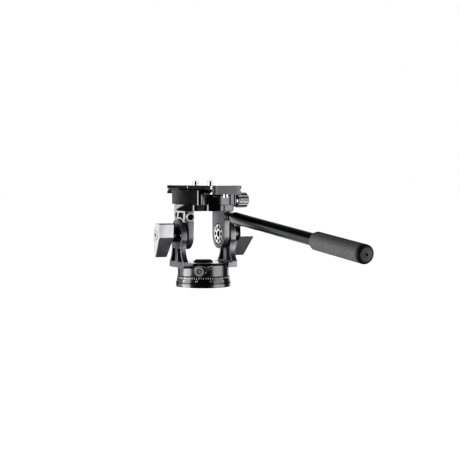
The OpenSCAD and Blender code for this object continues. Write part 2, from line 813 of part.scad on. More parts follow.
module axle() translate([0, 0, tilt_z]) along_x(disc_face) difference() {
  union() {
    cylinder(r = disc_r, h = disc_h);
    cylinder(r = axle_r, h = axle_end - disc_face);
  }
  for (i = [0 : disc_holes - 1])
    rotate(i * 360 / disc_holes) translate([disc_pcr, 0, -cut]) 
      cylinder(r = disc_hole_r, h = disc_h * disc_hole_share + cut);
  translate([0, 0, -cut]) cylinder(r = disc_socket_r, h = disc_h + 2 * cut);
}
module left_axle() color(silver) mirror([1, 0, 0]) axle();
module right_axle() color(silver) axle();
module friction_washer() translate([0, 0, tilt_z]) along_x(arm_out)
  ring(friction_r, axle_r + seat, upright_in - arm_out);
module left_friction_washer() color(rubber) mirror([1, 0, 0]) friction_washer();
module right_friction_washer() color(rubber) friction_washer();

// plan of the clamp body: fixed jaw, notch and tongue from left to right
module clamp_plan() {
  translate([jaw_strip / 2 - clamp_left, 0]) round_rect(jaw_strip, clamp_l, jaw_corner);
  translate([jaw_strip / 2 - clamp_left, notch_depth - clamp_l / 2])
    square([clamp_left - jaw_strip / 2 + body_right, clamp_l - 2 * notch_depth]);
  tongue(tongue_w, body_right + tongue_corner);
}
// section of the fixed jaw and floor, seen from behind
module clamp_body() color(black) difference() {
  intersection() {
    translate([0, clamp_l / 2, 0]) rotate([90, 0, 0]) linear_extrude(clamp_l) polygon([
      [-clamp_left, clamp_z],
      [body_right, clamp_z],
      [body_right, floor_z],
      [-jaw_in, floor_z],
      [-jaw_in, dove_z],
      [-dove_w - dove_gap, dove_z],
      [-dove_w - dove_gap, dove_z + dove_foot],
      [-dove_w - dove_gap + dove_in - lip_gap, jaw_z],
      [-clamp_left, jaw_z]
    ]);
    translate([0, 0, clamp_z - cut]) linear_extrude(jaw_h + 2 * cut) clamp_plan();
  }
  translate([0, 0, screw_z]) along_x(body_right - screw_hold - play)
    cylinder(r = screw_r + run, h = screw_hold + play + cut);
  for (y = [-1, 1]) {
    translate([0, y * pin_y, screw_z]) along_x(body_right - pin_hold)
      cylinder(r = pin_r + seat, h = pin_hold + cut);
    translate([0, y * clamp_bolt_y, clamp_z - cut]) cylinder(r = clamp_bolt_r + seat, h = jaw_h);
    translate([0, y * clamp_bolt_y, clamp_bolt_seat]) cylinder(r = clamp_bolt_head_r + run, h = jaw_h);
  }
}
module clamp_bolts() color(steel)
  for (y = [-1, 1]) translate([0, y * clamp_bolt_y, clamp_bolt_seat])
    cap_screw(
      clamp_bolt_r,
      clamp_bolt_seat - clamp_z + clamp_bolt_grip,
      clamp_bolt_head_r,
      clamp_bolt_head_h
    );
module jaw_guide_pins() color(steel)
  for (y = [-1, 1]) translate([0, y * pin_y, screw_z]) along_x(body_right - pin_hold)
    cylinder(r = pin_r, h = jaw_out - sink - body_right + pin_hold);
module moving_jaw() color(black) difference() {
  union() {
    intersection() {
      translate([0, clamp_l / 2, 0]) rotate([90, 0, 0]) linear_extrude(clamp_l) polygon([
        [jaw_in, clamp_z + jaw_under],
        [jaw_out, clamp_z + jaw_under],
        [jaw_out, jaw_z],
        [dove_w + dove_gap - dove_in + lip_gap, jaw_z],
        [dove_w + dove_gap, dove_z + dove_foot],
        [dove_w + dove_gap, dove_z],
        [jaw_in, dove_z]
      ]);
      translate([0, 0, clamp_z - cut]) linear_extrude(jaw_h + 2 * cut)
        translate([jaw_out - clamp_l / 2, 0]) round_rect(clamp_l, clamp_l, moving_corner);
    }
    translate([0, 0, screw_z]) along_x(jaw_out) cylinder(r = jaw_boss_r, h = jaw_boss_l);
  }
  translate([0, 0, screw_z]) along_x(jaw_in - cut)
    cylinder(r = screw_r + run, h = jaw_boss_end - jaw_in + 2 * cut);
  for (y = [-1, 1]) translate([0, y * pin_y, screw_z]) along_x(jaw_in - cut)
    cylinder(r = pin_r + run, h = jaw_out - jaw_in + 2 * cut);
}
module clamp_screw() color(steel) translate([0, 0, screw_z]) along_x(body_right - screw_hold)
  cylinder(r = screw_r, h = screw_end - body_right + screw_hold);
module clamp_knob_washer() color(steel) translate([0, 0, screw_z]) along_x(washer_start)
  ring(jaw_boss_r - rim_in, screw_r + seat, knob_washer);
module clamp_knob() color(silver) translate([0, 0, screw_z]) along_x(clamp_knob_start) difference() {
  rotate_extrude() polygon([
    [0, 0],
    [clamp_knob_r - knob_chamfer, 0],
    [clamp_knob_r, knob_chamfer],
    [clamp_knob_r, clamp_knob_l - knob_dome],
    [clamp_knob_r - knob_dome, clamp_knob_l],
    [0, clamp_knob_l]
  ]);
  for (i = [0 : flutes - 1]) rotate(i * 360 / flutes)
    translate([clamp_knob_r + flute_r * flute_out, 0, -cut])
      cylinder(r = flute_r, h = clamp_knob_l + 2 * cut);
  translate([0, 0, -cut]) cylinder(r = screw_r + seat, h = screw_end - clamp_knob_start + cut);
}

module lens_plate() color(black) translate([0, lens_y, 0]) difference() {
  intersection() {
    translate([0, lens_l / 2, 0]) rotate([90, 0, 0]) linear_extrude(lens_l) polygon([
      [-dove_w, dove_z],
      [dove_w, dove_z],
      [dove_w, dove_z + dove_foot],
      [dove_w - dove_in, dove_z + dove_foot + dove_in],
      [dove_w - dove_in, lens_flange_z],
      [lens_w, lens_flange_z],
      [lens_w, lens_top],
      [-lens_w, lens_top],
      [-lens_w, lens_flange_z],
      [-dove_w + dove_in, lens_flange_z],
      [-dove_w + dove_in, dove_z + dove_foot + dove_in],
      [-dove_w, dove_z + dove_foot]
    ]);
    translate([0, 0, dove_z - cut]) linear_extrude(lens_top - dove_z + 2 * cut)
      round_rect(2 * max(dove_w, lens_w) + 2 * lap, lens_l + 2 * lap, lens_corner);
  }
  for (y = [-1, 1]) translate([0, y * camera_y, 0]) {
    translate([0, 0, dove_z - cut]) linear_extrude(lens_top - dove_z + 2 * cut)
      round_rect(2 * (camera_r + run), slot_l, camera_r);
    translate([0, 0, dove_z - cut]) linear_extrude(camera_seat - dove_z + cut)
      round_rect(2 * (camera_head_r + run), slot_l + 2 * (camera_head_r - camera_r), camera_head_r);
  }
  for (y = [-1, 1]) translate([0, y * stop_y, dove_z - cut])
    cylinder(r = m3_r + seat, h = stop_shank + cut);
}
module camera_screws() color(steel) translate([0, lens_y, 0])
  for (y = [-1, 1]) translate([0, y * camera_y, 0]) {
    translate([0, 0, lens_top]) cylinder(r = camera_r, h = camera_out - neck_in);
    translate([0, 0, lens_top + camera_out - neck_in])
      cylinder(r1 = camera_r, r2 = camera_r - neck_in, h = neck_in);
    translate([0, 0, camera_seat]) rotate([180, 0, 0])
      cap_screw(camera_r - neck_in, lens_top - camera_seat + lap, camera_head_r, camera_head_h);
  }
module stop_screws() color(steel) translate([0, lens_y, 0])
  for (y = [-1, 1]) translate([0, y * stop_y, dove_z]) rotate([180, 0, 0])
    cap_screw(m3_r, stop_shank - play, m3_head_r, m3_head_h);

module handle_stud() color(steel) on_handle()
  translate([0, 0, play - handle_depth])
    cylinder(r = handle_r - run, h = handle_depth - play + tube_start + plug_l * thread_share);
module handle_nut() color(black) on_handle() ring(nut_r, handle_r + seat, nut_h);
module handle_plug() color(steel) on_handle() translate([0, 0, tube_start]) difference() {
  cylinder(r = tube_bore - seat, h = plug_l);
  translate([0, 0, -cut]) cylinder(r = handle_r + seat, h = plug_l * thread_share + play + cut);
}
module handle_tube() color(black) on_handle()
  translate([0, 0, tube_start]) ring(tube_r, tube_bore, tube_end - tube_start);
module handle_grip() color(rubber) on_handle() translate([0, 0, grip_start]) rotate_extrude() union() {
  translate([tube_r + seat, 0]) square([grip_r - grip_round - tube_r - seat, grip_l]);
  translate([tube_r + seat, grip_round]) square([grip_r - tube_r - seat, grip_l - 2 * grip_round]);
  for (z = [grip_round, grip_l - grip_round]) intersection() {
    translate([grip_r - grip_round, z]) circle(r = grip_round);
    translate([tube_r + seat, 0]) square([grip_r, grip_l]);
  }
}
module handle_end_cap() color(black) on_handle() difference() {
  union() {
    translate([0, 0, tube_end - end_plug_l]) cylinder(r = tube_bore - seat, h = end_plug_l);
    translate([0, 0, tube_end]) cylinder(r = tube_r, h = grip_groove);
    translate([0, 0, end_start + end_l - lap])
      cylinder(r1 = grip_r - end_dome, r2 = dimple_r / 2, h = end_cone + lap);
    translate([0, 0, end_start]) rotate_extrude() union() {
      square([grip_r, end_l - end_dome]);
      square([grip_r - end_dome, end_l]);
      intersection() {
        translate([grip_r - end_dome, end_l - end_dome]) circle(r = end_dome);
        square([grip_r, end_l]);
      }
    }
  }
  translate([0, 0, end_start + end_l - thin]) cylinder(r = dimple_r, h = thin + end_cone + cut);
}

base_plate();
tripod_bush();
degree_ring();
pan_spindle();
base_screws();
lower_thrust_washer();
upper_thrust_washer();
spindle_cap();
pan_body();
left_upright();
right_upright();
upright_screws();
left_tilt_bush();
right_tilt_bush();
left_collar();
right_collar();
pan_brake_shoe();
pan_lock_lever();
pan_lock_screw();
left_lock_knob();
left_lock_screw();
left_knob_cap();
right_lock_knob();
right_lock_screw();
right_knob_cap();
top_plate();
left_arm();
right_arm();
arm_screws();
left_axle();
right_axle();
left_friction_washer();
right_friction_washer();
clamp_body();
clamp_bolts();
jaw_guide_pins();
moving_jaw();
clamp_screw();
clamp_knob();
clamp_knob_washer();
lens_plate();
camera_screws();
stop_screws();
handle_stud();
handle_nut();
handle_plug();
handle_tube();
handle_grip();
handle_end_cap();
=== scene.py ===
import math

import bmesh
import bpy
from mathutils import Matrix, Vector


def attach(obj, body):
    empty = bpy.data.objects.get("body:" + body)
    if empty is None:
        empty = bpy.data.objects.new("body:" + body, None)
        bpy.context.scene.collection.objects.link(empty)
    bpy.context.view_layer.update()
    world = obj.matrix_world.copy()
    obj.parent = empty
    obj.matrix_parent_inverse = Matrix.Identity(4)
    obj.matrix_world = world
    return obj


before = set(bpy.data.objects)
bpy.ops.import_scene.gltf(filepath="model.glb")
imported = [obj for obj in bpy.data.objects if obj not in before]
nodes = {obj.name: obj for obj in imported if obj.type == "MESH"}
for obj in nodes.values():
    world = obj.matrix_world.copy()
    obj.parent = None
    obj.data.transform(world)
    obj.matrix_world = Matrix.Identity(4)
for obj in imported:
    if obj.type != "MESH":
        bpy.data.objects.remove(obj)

# Looks of a monopod head: finishes, white marks, screw threads and the studio.
# Lengths are millimetres unless a line says metres. +X is the head's right, +Y its front and +Z up.
MM = 0.001
RIGHT, FRONT, UP = (1, 0, 0), (0, 1, 0), (0, 0, 1)
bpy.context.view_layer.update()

# Base and degree ring
BASE_R = 30.7
RING_LOW_Z, RING_TOP_Z = 5.0, 11.7
RING_TOP_R = 29.3
# the ring's zero, from straight back to the right
RING_TURN = math.radians(-7.6)
# middle and half height of the painted shade along the joint lines below and above the ring, and in the
# groove under the deck's rim
GROOVES = ((4.65, 0.55), (12.05, 0.5), (25.15, 0.9))

# Pan lock: its axis, and its screw's painted rim highlight and socket floor
LOCK_Z = 18.7
LOCK_ANGLE = math.radians(30)
LOCK_RIM_R, LOCK_FLOOR_R = 3.1, 1.5

# Uprights: the painted shade on the face of their heads, on the rear end of the left foot and inside their
# slots
TILT_Z = 58.0
UPRIGHT_OUT = 32.4
HEAD_FACE_X = UPRIGHT_OUT - 0.2
HEAD_FACE_R = 14.9
HEAD_FACE_Z, HEAD_FACE_HALF = 60.0, 10.0
FOOT_END_Y, FOOT_SHADE_Z = -20.5, 24.1
SLOT_IN_X, SLOT_OUT_X = 26.6, 32.0
SLOT_LOW_Z, SLOT_TOP_Z = 27.5, 44.0
# the slots follow an arc about this point, inside the waist's own arc
SLOT_ARC_Y, SLOT_ARC_Z, SLOT_ARC_R = 32.3, 43.0, 19.7

# Cradle: just under the arms' outer faces, the axle discs' faces, the painted reflection on the top plate's
# left side and the painted reflection on the fixed jaw's face
ARM_FACE_X = 28.6
DISC_FACE_X = 18.24
SIDE_REFLECTION_X, SIDE_REFLECTION_LOW_Z = -24.5, 84.0
JAW_FACE_X, JAW_LOW_Z = -22.4, 91.5

# Lens plate: its middle and half sizes, then the skin of its ends, its rounded corners and the painted
# highlights at their rims
LENS_Y = 1.0
LENS_HALF_L, LENS_HALF_W = 66.5, 18.0
LENS_END_SKIN = 0.7
LENS_EDGE, LENS_CORNER = 0.5, 4.6
LENS_HIGHLIGHT_IN, LENS_HIGHLIGHT_HALF = 5.6, 0.9

# Camera screws: their thread ridges start just above the lens plate
SCREW_R, SCREW_APART = 3.17, 21.0
THREAD_LOW_Z, THREAD_PITCH, THREAD_TURNS = 112.3, 1.27, 2.6
THREAD_SUNK, THREAD_PROUD, THREAD_HALF = 0.05, 0.16, 0.42

# Handle, with its empty twin socket on the left arm
HANDLE_OUT, HANDLE_DOWN = math.radians(4), math.radians(6)
HANDLE_FOOT = Vector((23.5, -20.0, 77.5))
SOCKET_FOOT = Vector((-HANDLE_FOOT.x, HANDLE_FOOT.y, HANDLE_FOOT.z))
SOCKET_R, SOCKET_DEEP = 3.3, 9.0
SOCKET_SKIN, SOCKET_LIP = 0.5, 0.3
GRIP_R = 9.4
# radians of the grip's crossed waves to a millimetre
GRIP_WAVE = 1.5
CAP_DISC_R = 6.4

# Directions of the handle: down the tube, across it and up from it; and down the empty socket
handle_d = Vector((
    math.sin(HANDLE_OUT) * math.cos(HANDLE_DOWN),
    -math.cos(HANDLE_OUT) * math.cos(HANDLE_DOWN),
    -math.sin(HANDLE_DOWN),
))
handle_x = handle_d.cross(Vector(UP)).normalized()
handle_u = handle_x.cross(handle_d).normalized()
socket_d = Vector((-handle_d.x, handle_d.y, handle_d.z))

# White marks: how far they reach into and out of their surface
MARK_SUNK, MARK_PROUD = 0.05, 0.03

# Edges steeper than this stay crisp and are rounded over
CRISP_DEGREES = 32

# Stage
FLOOR_Z = -215.0
FLOOR_HALF = 20000
LIGHT_AIM = Vector((0, 0, 60)) * MM


class Field:
    """A shader socket that takes part in sums."""

    def __init__(self, finish, socket):
        self.finish, self.socket = finish, socket

    def calc(self, operation, *terms):
        return self.finish.node("ShaderNodeMath", {"operation": operation}, dict(enumerate(terms)))

    def __add__(self, other):
        return self.calc("ADD", self, other)

    def __sub__(self, other):
        return self.calc("SUBTRACT", self, other)

    def __rsub__(self, other):
        return self.calc("SUBTRACT", other, self)

    def __mul__(self, other):
        return self.calc("MULTIPLY", self, other)

    def __truediv__(self, other):
        return self.calc("DIVIDE", self, other)

    def __pow__(self, other):
        return self.calc("POWER", self, other)

    def __gt__(self, other):
        return self.calc("GREATER_THAN", self, other)

    def __lt__(self, other):
        return self.calc("LESS_THAN", self, other)

    def __abs__(self):
        return self.calc("ABSOLUTE", self)

    __radd__, __rmul__ = __add__, __mul__


class Finish:
    """The node tree of a material, or of the room when one is given."""

    def __init__(self, name, room=None):
        self.material = room or bpy.data.materials.new(name)
        self.material.use_nodes = True
        self.tree = self.material.node_tree
        self.tree.nodes.clear()
        self.place = self.node("ShaderNodeTexCoord", output="Generated" if room else "Object")

    def node(self, kind, settings=None, inputs=None, output=0):
        """Adds a node: settings first, then values or links into its sockets. Gives one output."""
        made = self.tree.nodes.new(kind)
        for key, value in (settings or {}).items():
            if key == "stops":
                ramp = made.color_ramp
                while len(ramp.elements) < len(value):
                    ramp.elements.new(1)
                for element, (at, shade) in zip(ramp.elements, value):
                    element.position = at
                    element.color = (shade, shade, shade, 1)
            else:
                setattr(made, key, value)
        for key, value in (inputs or {}).items():
            if isinstance(value, Field):
                self.tree.links.new(value.socket, made.inputs[key])
            else:
                made.inputs[key].default_value = value
        return Field(self, made.outputs[output])

    def vector(self, operation, first, second):
        return self.node("ShaderNodeVectorMath", {"operation": operation}, {0: first, 1: second})

    def dot(self, first, second):
        settings = {"operation": "DOT_PRODUCT"}
        return self.node("ShaderNodeVectorMath", settings, {0: first, 1: second}, "Value")

    def noise(self, grain, detail=3.0, stretch=(1, 1, 1), rough=0.5):
        """Noise whose features are about grain millimetres across."""
        where = self.vector("MULTIPLY", self.place, stretch)
        sockets = {"Vector": where, "Scale": 1 / (grain * MM), "Detail": detail, "Roughness": rough}
        return self.node("ShaderNodeTexNoise", None, sockets)

    def ramp(self, value, *stops):
        return self.node("ShaderNodeValToRGB", {"stops": stops}, {0: value})

    def fade(self, distance, *stops):
        """Values that follow a distance; each stop is a distance in millimetres and its value."""
        low, high = stops[0][0], stops[-1][0]
        span = high - low
        return self.ramp((distance - low) / span, *[((at - low) / span, value) for at, value in stops])

    def blend(self, share, first, second):
        """From the first colour to the second as share goes from 0 to 1."""
        return self.node("ShaderNodeMix", {"data_type": "RGBA"}, {0: share, 6: first, 7: second}, 2)

    def reach(self, foot):
        """The way in metres from a foot in millimetres to the surface."""
        return self.vector("SUBTRACT", self.place, [c * MM for c in foot])

    def along(self, direction, foot=(0, 0, 0)):
        """Distance in millimetres from foot along a direction."""
        return self.dot(self.reach(foot), tuple(direction)) * 1000

    def normal(self):
        return self.node("ShaderNodeNewGeometry", output="Normal")

    def edge(self, width, gain=6):
        """About 1 on an edge and 0 on a face, over width millimetres."""
        round_over = self.node("ShaderNodeBevel", {"samples": 4}, {"Radius": width * MM})
        return self.ramp((1 - self.dot(round_over, self.normal())) * gain, (0.05, 0), (0.8, 1))

    def bump(self, height, depth, strength):
        """Height from 0 to 1 as a relief depth millimetres deep."""
        sockets = {"Height": height, "Distance": depth * MM, "Strength": strength}
        return self.node("ShaderNodeBump", None, sockets)

    def surface(self, shader, kind="ShaderNodeOutputMaterial"):
        """Ends the tree with a shader."""
        self.tree.links.new(shader.socket, self.tree.nodes.new(kind).inputs["Surface"])

    def close(self, colour, rough, **sockets):
        """Ends a material. Further sockets are named with _ for a space."""
        values = {"Base Color": colour, "Roughness": rough}
        values.update({key.replace("_", " "): value for key, value in sockets.items()})
        self.surface(self.node("ShaderNodeBsdfPrincipled", None, values))
        return self.material


def grey(shade, tint=0.0):
    return (shade, shade, shade * (1 + tint), 1)


# Parts of a finish that differ from the rest: each gives 1 inside and 0 outside

def side_faces(f):
    """The arms' outer faces, lighter."""
    return abs(f.along(RIGHT)) > ARM_FACE_X


def socket_face(f):
    """The left arm's face round the handle socket, lighter."""
    return f.along(socket_d, SOCKET_FOOT) > -SOCKET_SKIN


def socket_bore(f):
    """Painted shade inside the left arm's handle socket."""
    down = f.along(socket_d, SOCKET_FOOT)
    far = f.node("ShaderNodeVectorMath", {"operation": "LENGTH"}, {0: f.reach(SOCKET_FOOT)}, "Value") * 1000
    return (far * far - down * down < SOCKET_R ** 2) * (down < -SOCKET_LIP) * (down > -SOCKET_DEEP)


def grooves(f):
    """Painted shade: near-black bands along the joint lines round the degree ring and in the groove under
    the deck's rim.
    """
    up = f.along(UP)
    return sum(abs(up - middle) < half for middle, half in GROOVES)


def head_face(f):
    """Painted shade of the collar and knob on the uprights' head faces, inside a rim left in the upright's
    own tone.
    """
    front, up = f.along(FRONT), f.along(UP)
    far = (front * front + (up - TILT_Z) ** 2) ** 0.5
    band = abs(up - HEAD_FACE_Z) < HEAD_FACE_HALF
    return (abs(f.along(RIGHT)) > HEAD_FACE_X) * (far < HEAD_FACE_R) * band


def slot_walls(f):
    """Painted shade inside the uprights' slots."""
    side, front, up = abs(f.along(RIGHT)), abs(f.along(FRONT)), f.along(UP)
    far = ((SLOT_ARC_Y - front) ** 2 + (up - SLOT_ARC_Z) ** 2) ** 0.5
    between = (side > SLOT_IN_X) * (side < SLOT_OUT_X)
    return between * (far > SLOT_ARC_R) * (up > SLOT_LOW_Z) * (up < SLOT_TOP_Z)


def foot_end(f):
    """Painted shade over the lower half of the left foot's rear end."""
    return (f.along(RIGHT) < 0) * (f.along(FRONT) < FOOT_END_Y) * (f.along(UP) < FOOT_SHADE_Z)


def disc_holes(f):
    """Painted shade inside the holes of the axles' end discs."""
    return abs(f.along(RIGHT)) > DISC_FACE_X


def lock_reach(f):
    """Distance from the pan lock's axis."""
    side = f.along((math.cos(LOCK_ANGLE), -math.sin(LOCK_ANGLE), 0))
    up = f.along(UP, (0, 0, LOCK_Z))
    return (side * side + up * up) ** 0.5


def screw_rim(f):
    """Painted highlight round the rim of the lock screw's head."""
    return lock_reach(f) > LOCK_RIM_R


def screw_floor(f):
    """The floor of the lock screw's socket."""
    return lock_reach(f) < LOCK_FLOOR_R


def side_pad(f):
    """Painted reflection: a lighter band on the top plate's left side."""
    return (f.along(RIGHT) < SIDE_REFLECTION_X) * (f.along(UP) > SIDE_REFLECTION_LOW_Z)


def jaw_side(f):
    """Painted reflection on the fixed jaw's outer face, stronger towards its front end."""
    reflection_share = f.fade(f.along(FRONT), (-10, 0.15), (5, 0.3), (38, 1))
    return (f.along(RIGHT) < JAW_FACE_X) * (f.along(UP) > JAW_LOW_Z) * reflection_share


def tube_below(f):
    """Painted reflection of the white floor on the underside of the handle tube, stronger towards the head.
    """
    near_head = f.fade(f.along(handle_d, HANDLE_FOOT), (24, 1), (72, 0.2), (140, 0))
    return near_head * f.fade(f.along(handle_u, HANDLE_FOOT), (0, 1), (2.4, 0))


def upper_edge(f):
    """Painted highlight on faces that look upwards."""
    return f.ramp(f.dot(f.normal(), UP), (0.2, 0), (0.45, 1))


def plate_far(f):
    """Distance from the lens plate's middle towards either end."""
    return abs(f.along(FRONT, (0, LENS_Y, 0)))


def plate_ends(f):
    """The sawn ends of the lens plate."""
    return plate_far(f) > LENS_HALF_L - LENS_END_SKIN


def plate_corners(f):
    """The lens plate's rounded corners, rougher and lighter with a painted highlight."""
    far = plate_far(f)
    near_end = (far > LENS_HALF_L - LENS_CORNER) * (far < LENS_HALF_L - LENS_EDGE)
    return near_end * (abs(f.along(RIGHT)) > LENS_HALF_W - LENS_CORNER)


def plate_rims(f):
    """Painted highlights where the plate's ends meet its rounded corners."""
    rim = abs(f.along(RIGHT)) - (LENS_HALF_W - LENS_HIGHLIGHT_IN)
    return plate_ends(f) * (abs(rim) < LENS_HIGHLIGHT_HALF)


def cap_disc(f):
    """Painted reflection: the flat middle of the handle's end cap, lighter than its rim."""
    side, up = f.along(handle_x, HANDLE_FOOT), f.along(handle_u, HANDLE_FOOT)
    return side * side + up * up < CAP_DISC_R ** 2


# Finishes

def anodised(name, tone, rough, bare, wear=0.6, edge_w=0.5, lines=None, zones=(), metal=1.0):
    """Dyed satin aluminium: cloudy dye, blasted grain, edges rubbed towards the bare metal.

    lines: the stretch of turned tool lines, where there are any.
    zones: masks over the finish, each with the tone and the roughness inside it; many of them paint shade,
    highlights or reflections."""
    f = Finish(name)
    cloud = f.noise(grain=9, detail=4)
    speck = f.noise(grain=0.3, detail=2)
    rub = f.ramp(f.noise(grain=2.2, detail=5, rough=0.65), (0.38, 0), (0.6, 1))
    dye = f.blend(f.ramp(cloud, (0.3, 0), (0.7, 1)), grey(tone * 0.85, 0.03), grey(tone * 1.15, 0.05))
    dye = f.blend(speck * 0.2, dye, grey(tone * 1.5, 0.03))
    gloss = rough + (cloud - 0.5) * 0.08 + (speck - 0.5) * 0.05
    rubbed = f.edge(edge_w) * (0.5 + rub * 0.5) * wear
    for zone, zone_tone, zone_rough in zones:
        mask = zone(f)
        dye = f.blend(mask, dye, grey(zone_tone))
        gloss = gloss + mask * (zone_rough - rough)
        if zone_tone < tone:
            rubbed = rubbed * (1 - mask)
    relief = speck
    if lines:
        relief = speck * 0.3 + f.noise(grain=0.5, detail=2, stretch=lines) * 0.7
    return f.close(
        f.blend(rubbed, dye, grey(bare)),
        gloss,
        Metallic=metal,
        Normal=f.bump(relief, depth=0.006, strength=0.4),
    )


def steel(name, tone, rough):
    """Turned stainless steel with fine tool marks."""
    f = Finish(name)
    tool = f.noise(grain=0.35, detail=2)
    smear = f.noise(grain=4, detail=4)
    return f.close(
        f.blend(smear, grey(tone * 0.85), grey(tone * 1.1, -0.02)),
        rough + (smear - 0.5) * 0.14 + (tool - 0.5) * 0.08,
        Metallic=1.0,
        Normal=f.bump(tool, depth=0.01, strength=0.4),
    )


def turned_bronze(name):
    """Plain turned bronze, a little darker in patches."""
    f = Finish(name)
    smear = f.noise(grain=3, detail=4)
    dark, light = (0.3, 0.19, 0.08, 1), (0.42, 0.28, 0.12, 1)
    return f.close(f.blend(smear, dark, light), 0.3 + smear * 0.1, Metallic=1.0)


def moulded(name, tone, rough, zone=None, sheen=0.25):
    """Moulded plastic or filled washer sheet with a fine spark grain.

    zone: a mask over the finish and the tone inside it."""
    f = Finish(name)
    spark = f.noise(grain=0.3)
    cloud = f.noise(grain=7)
    colour = f.blend(cloud, grey(tone * 0.85), grey(tone * 1.15))
    if zone:
        mask, zone_tone = zone
        colour = f.blend(mask(f), colour, f.blend(cloud, grey(zone_tone * 0.7), grey(zone_tone * 1.3)))
    return f.close(
        f.blend(f.edge(0.4) * 0.4, colour, grey(tone * 2.2)),
        rough + (spark - 0.5) * 0.15,
        Specular_IOR_Level=sheen,
        Normal=f.bump(spark, depth=0.02, strength=0.6),
    )


def grip_finish(name):
    """Soft grip with fine crossed lines pressed into it, with painted shade along its top and in the
    pressed lines.
    """
    f = Finish(name)
    down, side, up = (f.along(way, HANDLE_FOOT) for way in (handle_d, handle_x, handle_u))
    turn = f.node("ShaderNodeMath", {"operation": "ARCTAN2"}, {0: up, 1: side}) * GRIP_R
    first, second = (f.node("ShaderNodeMath", {"operation": "SINE"}, {0: wave * GRIP_WAVE})
                     for wave in (down + turn, down - turn))
    knurl = (abs(first) + abs(second)) * 0.5
    dust = f.noise(grain=1.4, detail=4)
    tone = f.blend(f.ramp(dust, (0.35, 0), (0.65, 1)), grey(0.05), grey(0.11))
    # painted shade along the grip's top
    tone = f.blend(f.fade(up, (2, 0), (7, 0.6)), tone, grey(0.025))
    # painted shade in the pressed lines
    tone = f.blend(f.ramp(knurl, (0.35, 1), (0.7, 0)), tone, grey(0.012))
    return f.close(
        tone,
        0.55 + dust * 0.12,
        Specular_IOR_Level=0.2,
        Normal=f.bump(knurl, depth=0.4, strength=0.9),
    )


def filled_mark(name):
    """White paint filled into a mark and a little worn."""
    f = Finish(name)
    wear = f.noise(grain=0.4)
    return f.close(f.blend(wear, grey(0.72), grey(0.9)), 0.5 + wear * 0.1)


# stretch of fine tool lines: level ones, and ones that run from side to side
LEVEL_LINES, SIDEWAYS_LINES = (0.03, 0.03, 1), (0.03, 1, 1)
# the satin black paints reflections on the top plate's left side and on the fixed jaw's face
black = anodised(
    "black_anodised_satin", tone=0.045, rough=0.1, bare=0.4,
    zones=[(side_pad, 0.3, 0.45), (jaw_side, 0.15, 0.3)])
# painted shade darkens the joint lines and the deck's groove in the two turned finishes below
black_turned = anodised(
    "black_anodised_turned", tone=0.05, rough=0.21, bare=0.4, lines=LEVEL_LINES,
    zones=[(grooves, 0.004, 0.7)])
ring_black = anodised(
    "black_anodised_ring", tone=0.034, rough=0.21, bare=0.4, lines=LEVEL_LINES,
    zones=[(grooves, 0.004, 0.7)])
# the lens plate's corners and the rims at its ends carry painted highlights
plate_black = anodised(
    "black_anodised_plate", tone=0.045, rough=0.17, bare=0.4,
    zones=[(plate_corners, 0.16, 0.42), (plate_ends, 0.09, 0.5), (plate_rims, 0.3, 0.45)])
cap_black = anodised("black_anodised_cap", tone=0.012, rough=0.35, bare=0.2)
# painted shade: inside the uprights' slots, on the faces of their heads and on the left foot's rear end
upright_grey = anodised(
    "charcoal_anodised_upright", tone=0.11, rough=0.4, bare=0.55,
    zones=[(slot_walls, 0.006, 0.6), (head_face, 0.012, 0.45), (foot_end, 0.008, 0.5)])
# the arms' finish paints shade inside the empty handle socket
arm_grey = anodised(
    "charcoal_anodised_arm", tone=0.13, rough=0.42, bare=0.55,
    zones=[(side_faces, 0.38, 0.45), (socket_face, 0.5, 0.45), (socket_bore, 0.006, 0.6)])
# painted highlight: the lever's upward faces are lighter, and its broad edge brightening is partly wear and
# partly painted highlight
lever_black = anodised(
    "lever_black", tone=0.025, rough=0.3, bare=0.6, wear=1.0, edge_w=0.8, metal=0.3,
    zones=[(upper_edge, 0.6, 0.4)])
# painted highlight round the lock screw's rim
lock_screw_black = anodised(
    "lock_screw_black", tone=0.01, rough=0.5, bare=0.3, metal=0.3,
    zones=[(screw_rim, 0.3, 0.4), (screw_floor, 0.4, 0.4)])
silver = anodised("silver_anodised_blasted", tone=0.52, rough=0.44, bare=0.85, wear=0.5)
# painted shade fills the holes of the axle discs
disc_bright = anodised(
    "axle_disc_bright", tone=0.85, rough=0.5, bare=0.9, metal=0.2,
    zones=[(disc_holes, 0.005, 0.6)])
knob_grey = anodised("clamp_knob_grey", tone=0.22, rough=0.38, bare=0.8, lines=SIDEWAYS_LINES)
# painted reflection of the floor on the tube's underside
tube_black = anodised(
    "handle_tube_black", tone=0.022, rough=0.2, bare=0.3,
    zones=[(tube_below, 0.22, 0.22)])
stainless = steel("stainless_turned", tone=0.55, rough=0.24)
bronze = turned_bronze("bush_bronze")
washer = moulded("friction_washer_black", tone=0.03, rough=0.5)
grip_rubber = grip_finish("grip_rubber_fine")
# painted reflection lightens the end cap's flat middle
end_black = moulded("end_cap_black", tone=0.004, rough=0.5, zone=(cap_disc, 0.05), sheen=0.05)
white_mark = filled_mark("filled_white_mark")


# Dressing of the solids

